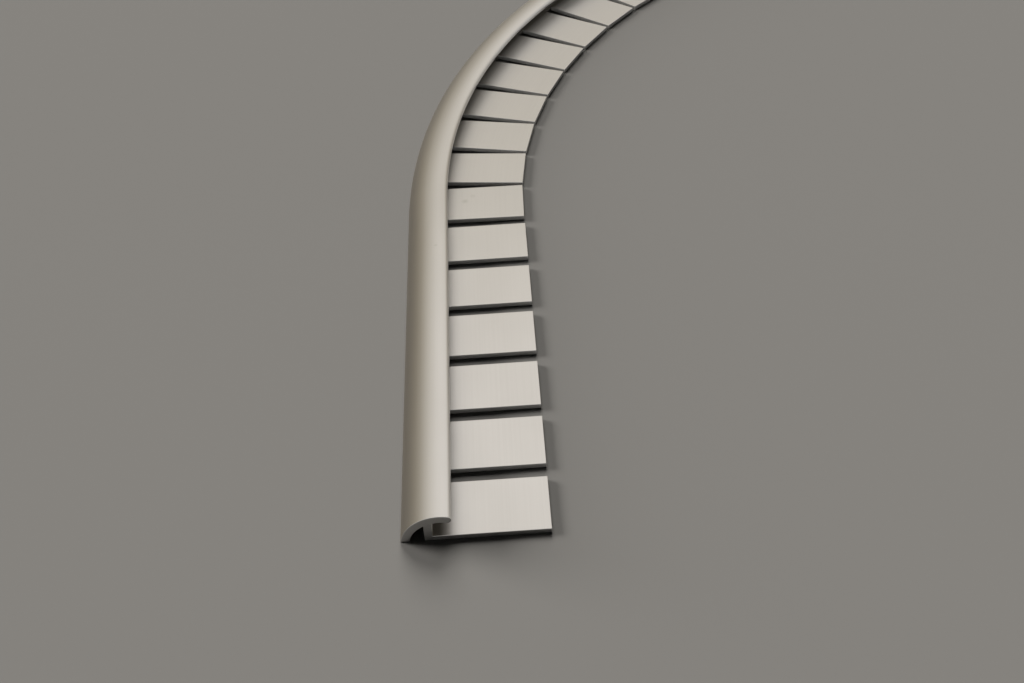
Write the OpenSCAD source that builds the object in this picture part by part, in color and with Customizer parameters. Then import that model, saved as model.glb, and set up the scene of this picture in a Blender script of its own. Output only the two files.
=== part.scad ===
// Bendable aluminium edge trim for floor coverings, bent to a quarter turn.
// One extruded bar: an arched head on a leg, a lip that overhangs a groove,
// and a flange that is sawn into tabs so that the bar can follow a curve.
// Units are millimetres. The floor is z = 0. The bar starts at the origin and runs along +Y,
// its flange lies towards +X, and x = 0 is the bending line in the middle of the leg.

/* [Stock] */
// Length of the bar along the bending line, as it is sold before bending
stock_length = 1000; // [1000:10:3000]

/* [Head] */
// Height of the head above the floor
head_h = 8; // [7:0.1:9]
// Distance from the head's outer edge to the bending line
outer_reach = 6.6; // [6:0.1:8]
// Distance from the bending line to the end of the lip
lip_reach = 5.6; // [4:0.1:7]
// Radius of the arched face
arch_r = 9.3; // [8.5:0.1:12]
// Thickness of the arched wall and of the lip
arch_t = 2.1; // [1.2:0.1:2.6]
// How far the radius of the lip's rounded end exceeds half the lip's thickness
nose_ease = 0.02; // [0.01:0.01:0.1]
// Thickness of the leg that carries the head
leg_t = 1.9; // [1.2:0.1:2.4]

/* [Flange] */
// Distance from the bending line to the tabs' free ends
flange_reach = 28.2; // [20:0.1:40]
// Thickness of the flange
flange_t = 1.4; // [1:0.1:2]
// Distance from the start of one tab to the start of the next
tab_pitch = 20; // [12:0.5:28]
// Width of the slots between the tabs
slot_w = 4; // [3:0.1:6]
// Strip of flange left whole between the leg and the slots
web_w = 1; // [0.5:0.1:2]

/* [Bend] */
// Length of the straight run before the bend
straight_run = 124; // [60:1:300]
// Radius of the bend, measured to the bending line
bend_r = 205; // [180:1:400]
// Angle through which the bar is bent
bend_angle = 90; // [30:5:90]

/* [Hidden] */

$fn = 96;

// The arch is one circle: its top is at head_h and it meets the floor at the outer edge.
arch_z = head_h - arch_r;
arch_x = sqrt(arch_r * arch_r - arch_z * arch_z) - outer_reach;
wall_mid_r = arch_r - arch_t / 2;

// The lip ends in a nose whose middle lies on the middle of the wall.
nose_r = arch_t / 2 + nose_ease;
nose_angle = asin((lip_reach - nose_r - arch_x) / wall_mid_r);
to_nose = [sin(nose_angle), cos(nose_angle)];

// The bar along the bending line: a straight run, the bend, and a second straight run.
bend_length = bend_r * bend_angle * PI / 180;
rest_run = stock_length - straight_run - bend_length;
bend_centre = [bend_r, straight_run];

tab_w = tab_pitch - slot_w;
tab_count = ceil(stock_length / tab_pitch);

// Turn of the bar at distance s along the bending line, in degrees to the right.
function turn_at(s) = min(max(s - straight_run, 0) / bend_length, 1) * bend_angle;

// Directions along and across the bar, the second one towards the flange, where it has that turn.
function along(turn) = [sin(turn), cos(turn)];
function across(turn) = [cos(turn), -sin(turn)];

// Place of the bending line at distance s.
function place_at(s) =
    let (turn = turn_at(s), past = max(s - straight_run - bend_length, 0))
    s <= straight_run
        ? [0, s]
        : bend_centre - bend_r * across(turn) + past * along(turn);

// Part of the section's plane that holds the arch: above the floor, and left of the lip's end.
// Its points are measured from the arch's centre.
module arch_limits() {
    beyond = 4 * arch_r;
    polygon([
        [-beyond, -arch_z],
        [0, -arch_z],
        to_nose * arch_r / 2,
        to_nose * beyond,
        [-beyond, beyond],
    ]);
    translate(to_nose * wall_mid_r) circle(nose_r);
}

// Arched wall from its foot on the floor to the rounded lip.
module arch_section() {
    translate([arch_x, arch_z])
        intersection() {
            difference() {
                circle(arch_r);
                circle(arch_r - arch_t);
            }
            arch_limits();
        }
}

// Leg under the arch, with the strip of flange beside it that the slots leave whole.
module leg_section() {
    leg_top = arch_z + sqrt(wall_mid_r * wall_mid_r - arch_x * arch_x);
    translate([-leg_t / 2, 0]) square([leg_t, leg_top]);
    square([leg_t / 2 + web_w, flange_t]);
}

module bar_section() {
    arch_section();
    leg_section();
}

// Straight length of the bar, from y = 0.
module straight_bar(length) {
    translate([0, length, 0]) rotate([90, 0, 0]) linear_extrude(length) bar_section();
}

// Bent length of the bar, turning to the right about bend_centre.
module bent_bar() {
    translate(bend_centre)
        rotate_extrude(angle = bend_angle, start = 180 - bend_angle)
            translate([bend_r, 0]) mirror([1, 0]) bar_section();
}

// Flat tab that starts at distance s. The tabs stay straight where the bar bends,
// so the slots close towards the free ends there.
module tab(s) {
    width = min(tab_w, stock_length - s);
    middle = s + width / 2;
    turn = turn_at(middle);
    root = place_at(middle);
    end = root + flange_reach * across(turn);
    side = width / 2 * along(turn);
    linear_extrude(flange_t) polygon([root - side, end - side, end + side, root + side]);
}

module trim_profile() {
    color("silver") {
        straight_bar(straight_run);
        bent_bar();
        translate(place_at(straight_run + bend_length))
            rotate([0, 0, -bend_angle]) straight_bar(rest_run);
        for (n = [0 : tab_count - 1]) tab(n * tab_pitch);
    }
}

trim_profile();
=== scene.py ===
"""Looks of a bendable aluminium edge trim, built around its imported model. Lengths are in metres."""

import math

import bpy
import numpy as np
from mathutils import Matrix, Vector


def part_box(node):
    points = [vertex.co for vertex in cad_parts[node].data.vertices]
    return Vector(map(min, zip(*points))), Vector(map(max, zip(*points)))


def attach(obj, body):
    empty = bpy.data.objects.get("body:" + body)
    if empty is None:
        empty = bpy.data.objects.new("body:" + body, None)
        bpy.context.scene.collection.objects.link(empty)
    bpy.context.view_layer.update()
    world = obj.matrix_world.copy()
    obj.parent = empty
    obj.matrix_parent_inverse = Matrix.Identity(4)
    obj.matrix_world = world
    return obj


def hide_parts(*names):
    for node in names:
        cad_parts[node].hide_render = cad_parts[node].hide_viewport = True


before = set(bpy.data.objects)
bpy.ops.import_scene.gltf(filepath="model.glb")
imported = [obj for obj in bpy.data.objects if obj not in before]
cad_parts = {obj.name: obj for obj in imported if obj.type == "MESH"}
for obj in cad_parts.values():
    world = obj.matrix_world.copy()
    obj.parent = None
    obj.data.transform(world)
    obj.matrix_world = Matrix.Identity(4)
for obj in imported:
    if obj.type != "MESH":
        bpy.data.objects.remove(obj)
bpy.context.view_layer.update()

MM = 0.001

# Places along the bar closer together than this count as one, and they are kept to so many digits.
ROUNDING = 0.01 * MM
PLACE_DIGITS = 7

# Sizes of the bar, as in its construction. The frame's box gives those that it shows.
NODE = "trim_profile"
BOX_LOW, BOX_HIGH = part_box(NODE)
HEAD_H = BOX_HIGH.z
OUTER_REACH = -BOX_LOW.x
LIP_REACH = 5.6 * MM
ARCH_R = 9.3 * MM
ARCH_T = 2.1 * MM
LEG_T = 1.9 * MM
FLANGE_REACH = 28.2 * MM
FLANGE_T = 1.4 * MM
TAB_PITCH = 20 * MM
TAB_W = 16 * MM
WEB_W = 1 * MM
BEND_R = 205 * MM
BEND_TURN = math.radians(90)
STRAIGHT_RUN = BOX_HIGH.y - BEND_R - OUTER_REACH
BEND_LENGTH = BEND_R * BEND_TURN
REST_RUN = BOX_HIGH.x - BEND_R
STOCK_LENGTH = STRAIGHT_RUN + BEND_LENGTH + REST_RUN
WEB_EDGE = LEG_T / 2 + WEB_W

# Finishes of the faces, in the order of the mesh's materials.
EXTRUDED, SAWN, MILLED = range(3)

# Fineness of the mesh.
ARCH_STEPS = 44
WALL_STEPS = 18
NOSE_STEPS = 12
BEND_STEP = 2 * MM
LEAST_STEP = BEND_STEP / 4
EDGE_EASE = 0.12 * MM
EDGE_SEGMENTS = 2
EDGE_ANGLE = math.radians(40)

# Camera at the photograph's viewing angle. The focal length is in pixels of its image.
IMAGE_W = 1024
FOCAL_PX = 1246.6
SENSOR_MM = 36
CLIP_START = 10 * MM
CAMERA_PLACE = Vector((0.021674, -0.181178, 0.224071))
CAMERA_HEADING = math.radians(0.061)
CAMERA_PITCH = math.radians(42.238)
CAMERA_ROLL = math.radians(-3.752)

# Wide soft lamps, far away, that light the floor from behind and from the left. Reflections show the room.
# Each lamp has an azimuth from +Y towards +X, an elevation, a width as an angle, and the light that it gives.
LAMPS = {
    "back_lamp": (math.radians(0), math.radians(33), math.radians(32), 2.55),
    "left_lamp": (math.radians(-66), math.radians(17), math.radians(28), 4.4),
}
LAMP_COLOUR = (1.0, 0.97, 0.93)

# Plain floor.
FLOOR_RADIUS = 60.0
FLOOR_SIDES = 96
FLOOR_COLOUR = (0.27, 0.265, 0.255)
FLOOR_ROUGHNESS = 0.8
FLOOR_SPECULAR = 0.2

# Room that the metal mirrors: brightest behind the bar, with tones that fall off from there, slower sideways.
# Each tone goes with the cosine of the angle to the bright side. In front and on the right the room is pale:
# each pale side has an azimuth, an elevation, and the cosines to it at which its tone starts and is full.
ROOM_BRIGHT_AZIMUTH = math.radians(6)
ROOM_BRIGHT_ELEVATION = math.radians(48)
ROOM_NARROWING = (0.5, 1, 1)
ROOM_TONES = (
    (0.00, (0.80, 0.79, 0.77)),
    (0.42, (0.76, 0.75, 0.73)),
    (0.52, (0.52, 0.50, 0.46)),
    (0.60, (0.27, 0.24, 0.18)),
    (0.65, (0.31, 0.27, 0.20)),
    (0.80, (0.40, 0.36, 0.28)),
    (0.90, (0.53, 0.475, 0.385)),
    (0.96, (0.87, 0.82, 0.72)),
    (1.00, (1.37, 1.32, 1.28)),
)
ROOM_PALE_TONE = (0.80, 0.79, 0.77)
ROOM_PALE_SIDES = (
    (math.radians(180), math.radians(60), 0.40, 0.75),
    (math.radians(90), math.radians(15), 0.65, 0.90),
)

# Light of the room on the floor. A ray has left the floor where it has fewer diffuse bounces than the limit.
ROOM_FILL = (0.002, 0.002, 0.002)
BOUNCE_LIMIT = 0.5

# Finish of the extruded metal: faint clouds, and fine lines along the bar that spread reflections across it.
# Scales are per metre across, along and up. Ranges are of the noise. The turn is a share of a full turn.
METAL_COLOUR = (0.60, 0.59, 0.575)
METAL_ROUGHNESS = (0.35, 0.38)
LINE_COLOUR = (0.585, 0.575, 0.56)
LINE_SCALE = (3000, 12, 3000)
LINE_DETAIL = 2
LINE_RANGE = (0.35, 0.7)
LINE_DEPTH = 0.004 * MM
LINE_SPREAD = 0.78
SPREAD_TURN = 0.25
CLOUD_SCALE = (90, 40, 90)
CLOUD_DETAIL = 3
CLOUD_RANGE = (0.3, 0.7)

# Finish of the cut faces, with the marks of the saw or cutter.
SAWN_COLOUR = (0.54, 0.53, 0.515)
SAWN_ROUGHNESS = (0.42, 0.55)
# The milled tab sides are lighter than the sawn ends partly as painted light, which brightens the tab sides
# that face the slots.
MILLED_COLOUR_AND_PAINTED_LIGHT = (0.70, 0.695, 0.68)
MILLED_ROUGHNESS = (0.58, 0.68)
TOOL_SCALE = (1500, 1500, 6000)
TOOL_DETAIL = 3
TOOL_RANGE = (0.3, 0.7)
TOOL_DEPTH = 0.01 * MM

# Painted shade: a darker, browner reflection towards the foot of the arch's outer flank, and darkening low
# and deep in the groove under the lip, with the places where they start and are full.
FLANK_PAINTED_SHADE_COLOUR = (0.42, 0.385, 0.335)
FLANK_EDGE = -0.5 * MM
FLANK_FOOT = -6.0 * MM
GROOVE_PAINTED_SHADE_COLOUR = (0.15, 0.14, 0.125)
GROOVE_MOUTH = 5.6 * MM
GROOVE_DEEP = 2.5 * MM
GROOVE_LEG = LEG_T / 4
GROOVE_TOP = 2.5 * MM
GROOVE_FADE = ARCH_T / 4

# Small dull marks. Each has a place across and along the straight bar, a radius and a strength.
MARK_COLOUR = (0.46, 0.46, 0.43)
MARKS = (
    (10.4 * MM, 129.0 * MM, 1.3 * MM, 0.8),
    (12.8 * MM, 131.5 * MM, 1.2 * MM, 0.4),
    (2.2 * MM, 99.5 * MM, 0.7 * MM, 0.6),
)

# Sockets of a node that mixes two colours.
MIX_FACTOR, MIX_FIRST, MIX_SECOND = 0, 6, 7
MIX_RESULT = 2


def arc(centre, radius, first, last, steps):
    """Points on a circle of the section. Angles run from straight up towards the flange."""
    angles = np.linspace(first, last, steps + 1)
    return [(centre[0] + radius * math.sin(a), centre[1] + radius * math.cos(a)) for a in angles]


def section_outline():
    """Outline of the bar's section as (across, up) points, and the index of the web's top edge."""
    inner_r = ARCH_R - ARCH_T
    wall_mid_r = ARCH_R - ARCH_T / 2
    centre_up = HEAD_H - ARCH_R
    centre = (math.sqrt(ARCH_R**2 - centre_up**2) - OUTER_REACH, centre_up)
    nose_r = ARCH_T / 2
    nose_angle = math.asin((LIP_REACH - nose_r - centre[0]) / wall_mid_r)
    nose = arc(centre, wall_mid_r, nose_angle, nose_angle, 0)[0]
    outer_foot = -math.acos(-centre_up / ARCH_R)
    inner_foot = -math.acos(-centre_up / inner_r)
    leg_right = math.asin((LEG_T / 2 - centre[0]) / inner_r)
    leg_left = math.asin((-LEG_T / 2 - centre[0]) / inner_r)

    points = arc(centre, ARCH_R, outer_foot, nose_angle, ARCH_STEPS)
    points += arc(nose, nose_r, nose_angle, nose_angle + math.pi, NOSE_STEPS)[1:]
    points += arc(centre, inner_r, nose_angle, leg_right, WALL_STEPS)[1:]
    points.append((LEG_T / 2, FLANGE_T))
    web_top = len(points)
    points.append((WEB_EDGE, FLANGE_T))
    points.append((WEB_EDGE, 0))
    points.append((-LEG_T / 2, 0))
    points += arc(centre, inner_r, leg_left, inner_foot, WALL_STEPS)
    return points, web_top


def bent(across, along):
    """Place on the floor of a point of the straight bar, after bending."""
    turn = min(max(along - STRAIGHT_RUN, 0) / BEND_R, BEND_TURN)
    before = min(along - STRAIGHT_RUN, 0)
    past = max(along - STRAIGHT_RUN - BEND_LENGTH, 0)
    x = BEND_R - (BEND_R - across) * math.cos(turn) + past * math.sin(turn)
    y = STRAIGHT_RUN + before + (BEND_R - across) * math.sin(turn) + past * math.cos(turn)
    return x, y


def tab_spans():
    """Start and end of each tab along the bar."""
    count = math.ceil((STOCK_LENGTH - ROUNDING) / TAB_PITCH)
    starts = [n * TAB_PITCH for n in range(count)]
    return [(start, min(start + TAB_W, STOCK_LENGTH)) for start in starts]


def stations(spans):
    """Places along the bar where the swept mesh has a ring: ends, tab sides and steps in the bend."""
    steps = math.ceil(BEND_LENGTH / BEND_STEP)
    bend = np.linspace(STRAIGHT_RUN, STRAIGHT_RUN + BEND_LENGTH, steps + 1)
    fixed = [0, STOCK_LENGTH] + [edge for span in spans for edge in span]
    spare = [s for s in bend if min(abs(s - f) for f in fixed) > LEAST_STEP]
    return sorted(set(round(s, PLACE_DIGITS) for s in fixed + spare))


def tab_corners(start, end):
    """Near and far corner of a tab's free end on the floor. The tab stays flat and straight."""
    middle = (start + end) / 2
    root = Vector(bent(0, middle))
    along = (Vector(bent(0, middle + ROUNDING)) - Vector(bent(0, middle - ROUNDING))).normalized()
    across = Vector((along.y, -along.x))
    side = along * (end - start) / 2
    tip = root + across * FLANGE_REACH
    return tip - side, tip + side


class BarMesh:
    """Vertices, faces and finishes of the bar, with each vertex's place in the straight bar."""

    def __init__(self):
        self.places = []
        self.straight = []
        self.faces = []
        self.finishes = []

    def vertex(self, place, across, along, up):
        self.places.append((place[0], place[1], up))
        self.straight.append((across, along, up))
        return len(self.places) - 1

    def face(self, corners, finish):
        self.faces.append(corners)
        self.finishes.append(finish)


def sweep(bar, outline, web_top, rings_at, spans):
    """Skin of the bar without its tabs, open where they join the web."""
    rings = []
    for s in rings_at:
        rings.append([bar.vertex(bent(a, s), a, s, up) for a, up in outline])
    count = len(outline)
    for k in range(len(rings) - 1):
        middle = (rings_at[k] + rings_at[k + 1]) / 2
        in_tab = any(start < middle < end for start, end in spans)
        for j in range(count):
            if j == web_top and in_tab:
                continue
            i = (j + 1) % count
            bar.face([rings[k][j], rings[k][i], rings[k + 1][i], rings[k + 1][j]], EXTRUDED)
    bar.face(rings[0][::-1], SAWN)
    bar.face(rings[-1], SAWN)
    return rings


def add_tab(bar, rings, rings_at, web_top, start, end):
    """One tab, from the web's edge to its free end."""
    inside = [k for k, s in enumerate(rings_at) if start - ROUNDING <= s <= end + ROUNDING]
    top = [rings[k][web_top] for k in inside]
    bottom = [rings[k][web_top + 1] for k in inside]
    near, far = tab_corners(start, end)
    top_near = bar.vertex(near, FLANGE_REACH, start, FLANGE_T)
    top_far = bar.vertex(far, FLANGE_REACH, end, FLANGE_T)
    bottom_near = bar.vertex(near, FLANGE_REACH, start, 0)
    bottom_far = bar.vertex(far, FLANGE_REACH, end, 0)
    bar.face([top[0], top_near, top_far] + top[:0:-1], EXTRUDED)
    bar.face(bottom + [bottom_far, bottom_near], EXTRUDED)
    bar.face([top_near, bottom_near, bottom_far, top_far], EXTRUDED)
    near_finish = SAWN if start < ROUNDING else MILLED
    bar.face([top[0], bottom[0], bottom_near, top_near], near_finish)
    bar.face([top[-1], top_far, bottom_far, bottom[-1]], MILLED)


def build_mesh():
    """The bar as one closed mesh with its materials."""
    bar = BarMesh()
    outline, web_top = section_outline()
    spans = tab_spans()
    rings_at = stations(spans)
    rings = sweep(bar, outline, web_top, rings_at, spans)
    for start, end in spans:
        add_tab(bar, rings, rings_at, web_top, start, end)

    mesh = bpy.data.meshes.new("edge_trim")
    mesh.from_pydata(bar.places, [], bar.faces)
    mesh.materials.append(extruded_metal())
    mesh.materials.append(cut_metal("sawn_aluminium", SAWN_COLOUR, SAWN_ROUGHNESS))
    mesh.materials.append(cut_metal("milled_aluminium_painted_light", MILLED_COLOUR_AND_PAINTED_LIGHT, MILLED_ROUGHNESS))
    mesh.polygons.foreach_set("material_index", np.array(bar.finishes, dtype=np.int32))
    mesh.polygons.foreach_set("use_smooth", np.ones(len(bar.faces), dtype=bool))
    straight = mesh.attributes.new("straight_bar", "FLOAT_VECTOR", "POINT")
    straight.data.foreach_set("vector", np.array(bar.straight, dtype=np.float32).ravel())
    mesh.update()
    return mesh


def build_bar():
    """The bar with its sharp edges slightly eased."""
    piece = bpy.data.objects.new("edge_trim", build_mesh())
    bpy.context.scene.collection.objects.link(piece)
    ease = piece.modifiers.new("eased_edges", "BEVEL")
    ease.width = EDGE_EASE
    ease.segments = EDGE_SEGMENTS
    ease.limit_method = "ANGLE"
    ease.angle_limit = EDGE_ANGLE
    ease.use_clamp_overlap = False
    ease.harden_normals = True
    return piece


class Shader:
    """Short forms for making a material's nodes."""

    def __init__(self, name):
        self.material = bpy.data.materials.new(name)
        self.material.use_nodes = True
        self.tree = self.material.node_tree
        self.surface = self.tree.nodes["Principled BSDF"]

    def node(self, kind, **settings):
        made = self.tree.nodes.new(kind)
        for name, value in settings.items():
            setattr(made, name, value)
        return made

    def link(self, source, target):
        self.tree.links.new(source, target)

    def straight_bar(self, scale):
        """Place in the straight bar as (across, along, up), stretched by scale."""
        place = self.node("ShaderNodeAttribute", attribute_name="straight_bar")
        mapping = self.node("ShaderNodeMapping")
        mapping.inputs["Scale"].default_value = scale
        self.link(place.outputs["Vector"], mapping.inputs["Vector"])
        return mapping.outputs["Vector"]

    def noise(self, scale, detail):
        """Noise over the straight bar, from 0 to 1."""
        noise = self.node("ShaderNodeTexNoise")
        noise.inputs["Scale"].default_value = 1
        noise.inputs["Detail"].default_value = detail
        self.link(self.straight_bar(scale), noise.inputs["Vector"])
        return noise.outputs["Fac"]

    def between(self, value, low, high, out_low, out_high):
        """Value from low to high turned into out_low to out_high, and kept between them."""
        spread = self.node("ShaderNodeMapRange")
        names = ("From Min", "From Max", "To Min", "To Max")
        for name, number in zip(names, (low, high, out_low, out_high)):
            spread.inputs[name].default_value = number
        self.link(value, spread.inputs["Value"])
        return spread.outputs["Result"]

    def tones(self, value, first, second):
        """First colour where value is 0, second where it is 1. A colour may be a node's output."""
        mix = self.node("ShaderNodeMix", data_type="RGBA")
        for socket, colour in ((MIX_FIRST, first), (MIX_SECOND, second)):
            if isinstance(colour, tuple):
                mix.inputs[socket].default_value = (*colour, 1)
            else:
                self.link(colour, mix.inputs[socket])
        self.link(value, mix.inputs[MIX_FACTOR])
        return mix.outputs[MIX_RESULT]

    def times(self, first, second):
        product = self.node("ShaderNodeMath", operation="MULTIPLY")
        self.link(first, product.inputs[0])
        self.link(second, product.inputs[1])
        return product.outputs[0]

    def bump(self, height, depth):
        bump = self.node("ShaderNodeBump")
        bump.inputs["Strength"].default_value = 1
        bump.inputs["Distance"].default_value = depth
        self.link(height, bump.inputs["Height"])
        self.link(bump.outputs["Normal"], self.surface.inputs["Normal"])


def painted_flank_shade(shader, across):
    """Mask of the painted shade, a darker reflection: 1 at the foot of the arched face, 0 higher up and on
    the rest of the bar.
    """
    return shader.between(across, FLANK_EDGE, FLANK_FOOT, 0, 1)


def painted_groove_shade(shader, across, up):
    """Mask of the painted shade in the groove: 1 low and deep beside the leg, 0 at its mouth and on the rest
    of the bar.
    """
    deep = shader.between(across, GROOVE_MOUTH, GROOVE_DEEP, 0, 1)
    past_leg = shader.between(across, 0, GROOVE_LEG, 0, 1)
    low_down = shader.between(up, GROOVE_TOP + GROOVE_FADE, GROOVE_TOP, 0, 1)
    return shader.times(shader.times(deep, past_leg), low_down)


def mark_shade(shader, across, along, radius, strength):
    """Strength in the middle of a round mark, 0 outside it."""
    away = shader.node("ShaderNodeVectorMath", operation="DISTANCE")
    shader.link(shader.straight_bar((1, 1, 0)), away.inputs[0])
    away.inputs[1].default_value = (across, along, 0)
    return shader.between(away.outputs["Value"], radius, 0, 0, strength)


def along_bar(shader, along):
    """Direction of the bar, and so of the fine lines on it, at each place along it."""
    turn = shader.between(along, STRAIGHT_RUN, STRAIGHT_RUN + BEND_LENGTH, 0, BEND_TURN)
    direction = shader.node("ShaderNodeCombineXYZ")
    for socket, function in zip(direction.inputs, ("SINE", "COSINE")):
        share = shader.node("ShaderNodeMath", operation=function)
        shader.link(turn, share.inputs[0])
        shader.link(share.outputs[0], socket)
    return direction.outputs[0]


def extruded_metal():
    """Satin aluminium with the fine lines that the die leaves along the bar, small dull marks, and painted
    shade at the arch's foot and in the groove.
    """
    shader = Shader("extruded_aluminium")
    surface = shader.surface.inputs
    lines = shader.noise(LINE_SCALE, LINE_DETAIL)
    clouds = shader.noise(CLOUD_SCALE, CLOUD_DETAIL)
    place = shader.node("ShaderNodeSeparateXYZ")
    shader.link(shader.straight_bar((1, 1, 1)), place.inputs[0])
    across, along, up = place.outputs

    metal = shader.tones(shader.between(lines, *LINE_RANGE, 0, 1), METAL_COLOUR, LINE_COLOUR)
    # Painted shade: a darker, browner reflection at the foot of the arched face.
    metal = shader.tones(painted_flank_shade(shader, across), metal, FLANK_PAINTED_SHADE_COLOUR)
    # Painted shade low and deep in the groove under the lip.
    metal = shader.tones(painted_groove_shade(shader, across, up), metal, GROOVE_PAINTED_SHADE_COLOUR)
    for mark in MARKS:
        metal = shader.tones(mark_shade(shader, *mark), metal, MARK_COLOUR)

    surface["Metallic"].default_value = 1
    shader.link(metal, surface["Base Color"])
    shader.link(shader.between(clouds, *CLOUD_RANGE, *METAL_ROUGHNESS), surface["Roughness"])
    surface["Anisotropic"].default_value = LINE_SPREAD
    surface["Anisotropic Rotation"].default_value = SPREAD_TURN
    shader.link(along_bar(shader, along), surface["Tangent"])
    shader.bump(lines, LINE_DEPTH)
    return shader.material


def cut_metal(name, colour, roughness):
    """Aluminium as a saw or cutter leaves it, rougher than the rest and with marks of the tool."""
    shader = Shader(name)
    surface = shader.surface.inputs
    marks = shader.noise(TOOL_SCALE, TOOL_DETAIL)
    surface["Metallic"].default_value = 1
    shader.link(shader.tones(marks, METAL_COLOUR, colour), surface["Base Color"])
    shader.link(shader.between(marks, *TOOL_RANGE, *roughness), surface["Roughness"])
    shader.bump(marks, TOOL_DEPTH)
    return shader.material


def make_floor():
    """Plain pale floor under the bar."""
    bpy.ops.mesh.primitive_circle_add(vertices=FLOOR_SIDES, radius=FLOOR_RADIUS, fill_type="NGON")
    floor = bpy.context.object
    floor.name = "floor"
    shader = Shader("pale_floor")
    surface = shader.surface.inputs
    surface["Base Color"].default_value = (*FLOOR_COLOUR, 1)
    surface["Roughness"].default_value = FLOOR_ROUGHNESS
    surface["Specular IOR Level"].default_value = FLOOR_SPECULAR
    floor.data.materials.append(shader.material)


def direction_to(azimuth, elevation):
    """Unit vector to that azimuth, measured from +Y towards +X, and elevation."""
    level = math.cos(elevation)
    return Vector((level * math.sin(azimuth), level * math.cos(azimuth), math.sin(elevation)))


def make_lamp(name, azimuth, elevation, width, light):
    """Wide soft lamp, far away."""
    data = bpy.data.lights.new(name, "SUN")
    data.angle = width
    data.energy = light
    data.color = LAMP_COLOUR
    lamp = bpy.data.objects.new(name, data)
    lamp.rotation_euler = (-direction_to(azimuth, elevation)).to_track_quat("-Z", "Y").to_euler()
    lamp.visible_camera = False
    lamp.visible_glossy = False
    bpy.context.scene.collection.objects.link(lamp)


def make_room():
    """Room that the camera and reflections see, and that fills the shadows a little."""
    world = bpy.data.worlds.new("room")
    bpy.context.scene.world = world
    world.use_nodes = True
    tree = world.node_tree
    tree.nodes.clear()
    tone = tree.nodes.new("ShaderNodeBackground")
    tree.links.new(room_tone(tree), tone.inputs["Color"])
    fill = tree.nodes.new("ShaderNodeBackground")
    fill.inputs["Color"].default_value = (*ROOM_FILL, 1)
    mix = tree.nodes.new("ShaderNodeMixShader")
    tree.links.new(ray_sees_room(tree), mix.inputs[0])
    tree.links.new(fill.outputs[0], mix.inputs[1])
    tree.links.new(tone.outputs[0], mix.inputs[2])
    output = tree.nodes.new("ShaderNodeOutputWorld")
    tree.links.new(mix.outputs[0], output.inputs["Surface"])


def room_tone(tree):
    """Colour of the room in each direction."""
    coordinates = tree.nodes.new("ShaderNodeTexCoord")
    direction = coordinates.outputs["Generated"]
    ramp = tree.nodes.new("ShaderNodeValToRGB")
    stops = ramp.color_ramp.elements
    while len(stops) < len(ROOM_TONES):
        stops.new(1)
    for stop, (position, colour) in zip(stops, ROOM_TONES):
        stop.position = position
        stop.color = (*colour, 1)
    tree.links.new(bright_cosine(tree, direction), ramp.inputs["Fac"])

    tone = ramp.outputs["Color"]
    for side in ROOM_PALE_SIDES:
        mix = tree.nodes.new("ShaderNodeMix")
        mix.data_type = "RGBA"
        tree.links.new(side_share(tree, direction, *side), mix.inputs[MIX_FACTOR])
        tree.links.new(tone, mix.inputs[MIX_FIRST])
        mix.inputs[MIX_SECOND].default_value = (*ROOM_PALE_TONE, 1)
        tone = mix.outputs[MIX_RESULT]
    return tone


def bright_cosine(tree, direction):
    """Cosine of the angle between the narrowed direction and the room's bright side."""
    narrow = tree.nodes.new("ShaderNodeVectorMath")
    narrow.operation = "MULTIPLY"
    narrow.inputs[1].default_value = ROOM_NARROWING
    unit = tree.nodes.new("ShaderNodeVectorMath")
    unit.operation = "NORMALIZE"
    tree.links.new(direction, narrow.inputs[0])
    tree.links.new(narrow.outputs["Vector"], unit.inputs[0])
    return cosine_to(tree, unit.outputs["Vector"], ROOM_BRIGHT_AZIMUTH, ROOM_BRIGHT_ELEVATION)


def cosine_to(tree, direction, azimuth, elevation):
    """Cosine of the angle between a direction and that azimuth and elevation."""
    cosine = tree.nodes.new("ShaderNodeVectorMath")
    cosine.operation = "DOT_PRODUCT"
    cosine.inputs[1].default_value = direction_to(azimuth, elevation)
    tree.links.new(direction, cosine.inputs[0])
    return cosine.outputs["Value"]


def side_share(tree, direction, azimuth, elevation, start_cosine, full_cosine):
    """1 near that azimuth and elevation, 0 away from them."""
    share = tree.nodes.new("ShaderNodeMapRange")
    share.inputs["From Min"].default_value = start_cosine
    share.inputs["From Max"].default_value = full_cosine
    tree.links.new(cosine_to(tree, direction, azimuth, elevation), share.inputs["Value"])
    return share.outputs["Result"]


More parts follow.
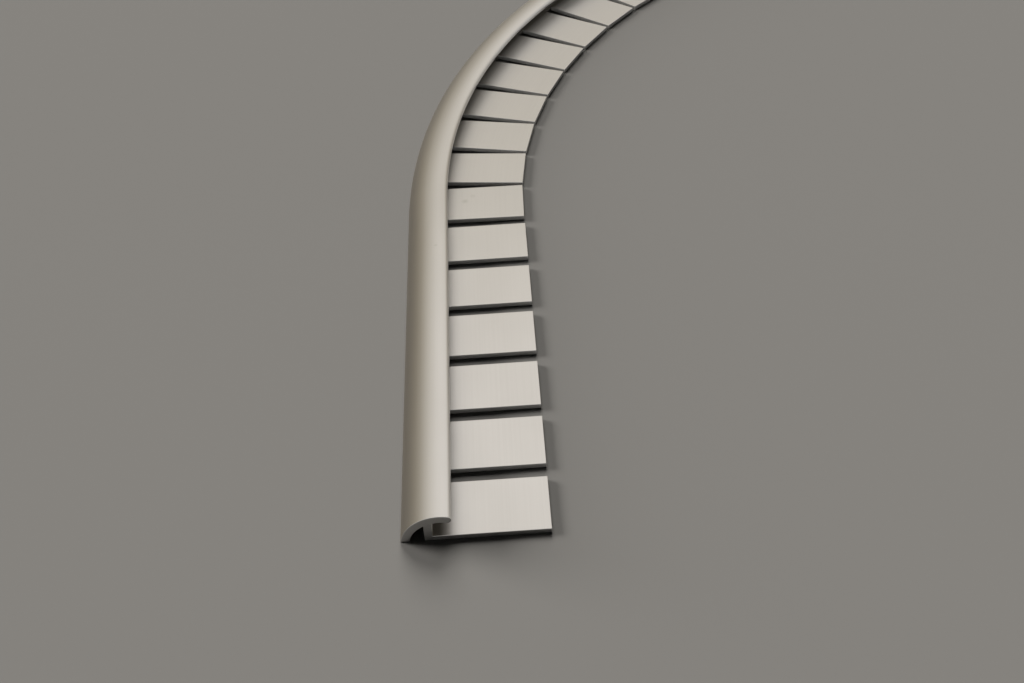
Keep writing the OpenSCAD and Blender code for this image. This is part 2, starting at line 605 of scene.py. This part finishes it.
def ray_sees_room(tree):
    """1 for camera, glossy and transmission rays that have not met the floor, 0 for the light on it."""
    rays = tree.nodes.new("ShaderNodeLightPath")
    seen = tree.nodes.new("ShaderNodeMath")
    seen.operation = "ADD"
    tree.links.new(rays.outputs["Is Camera Ray"], seen.inputs[0])
    tree.links.new(rays.outputs["Is Glossy Ray"], seen.inputs[1])
    shown = tree.nodes.new("ShaderNodeMath")
    shown.operation = "ADD"
    shown.use_clamp = True
    tree.links.new(seen.outputs[0], shown.inputs[0])
    tree.links.new(rays.outputs["Is Transmission Ray"], shown.inputs[1])
    off_floor = tree.nodes.new("ShaderNodeMath")
    off_floor.operation = "LESS_THAN"
    off_floor.inputs[1].default_value = BOUNCE_LIMIT
    tree.links.new(rays.outputs["Diffuse Depth"], off_floor.inputs[0])
    product = tree.nodes.new("ShaderNodeMath")
    product.operation = "MULTIPLY"
    tree.links.new(shown.outputs[0], product.inputs[0])
    tree.links.new(off_floor.outputs[0], product.inputs[1])
    return product.outputs[0]


def make_camera():
    """Camera with the photograph's place, direction, roll and focal length."""
    ahead = direction_to(CAMERA_HEADING, -CAMERA_PITCH)
    level = Vector((math.cos(CAMERA_HEADING), -math.sin(CAMERA_HEADING), 0))
    upright = level.cross(ahead)
    right = math.cos(CAMERA_ROLL) * level + math.sin(CAMERA_ROLL) * upright
    up = math.cos(CAMERA_ROLL) * upright - math.sin(CAMERA_ROLL) * level
    data = bpy.data.cameras.new("camera")
    data.sensor_width = SENSOR_MM
    data.lens = FOCAL_PX / IMAGE_W * SENSOR_MM
    data.clip_start = CLIP_START
    camera = bpy.data.objects.new("camera", data)
    turn = Matrix((right, up, -ahead)).transposed()
    camera.matrix_world = Matrix.Translation(CAMERA_PLACE) @ turn.to_4x4()
    bpy.context.scene.collection.objects.link(camera)
    bpy.context.scene.camera = camera


bpy.context.scene.view_settings.view_transform = "Standard"
make_camera()
make_floor()
for lamp_name, lamp_sizes in LAMPS.items():
    make_lamp(lamp_name, *lamp_sizes)
make_room()

edge_trim = build_bar()
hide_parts(NODE)
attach(edge_trim, "root")
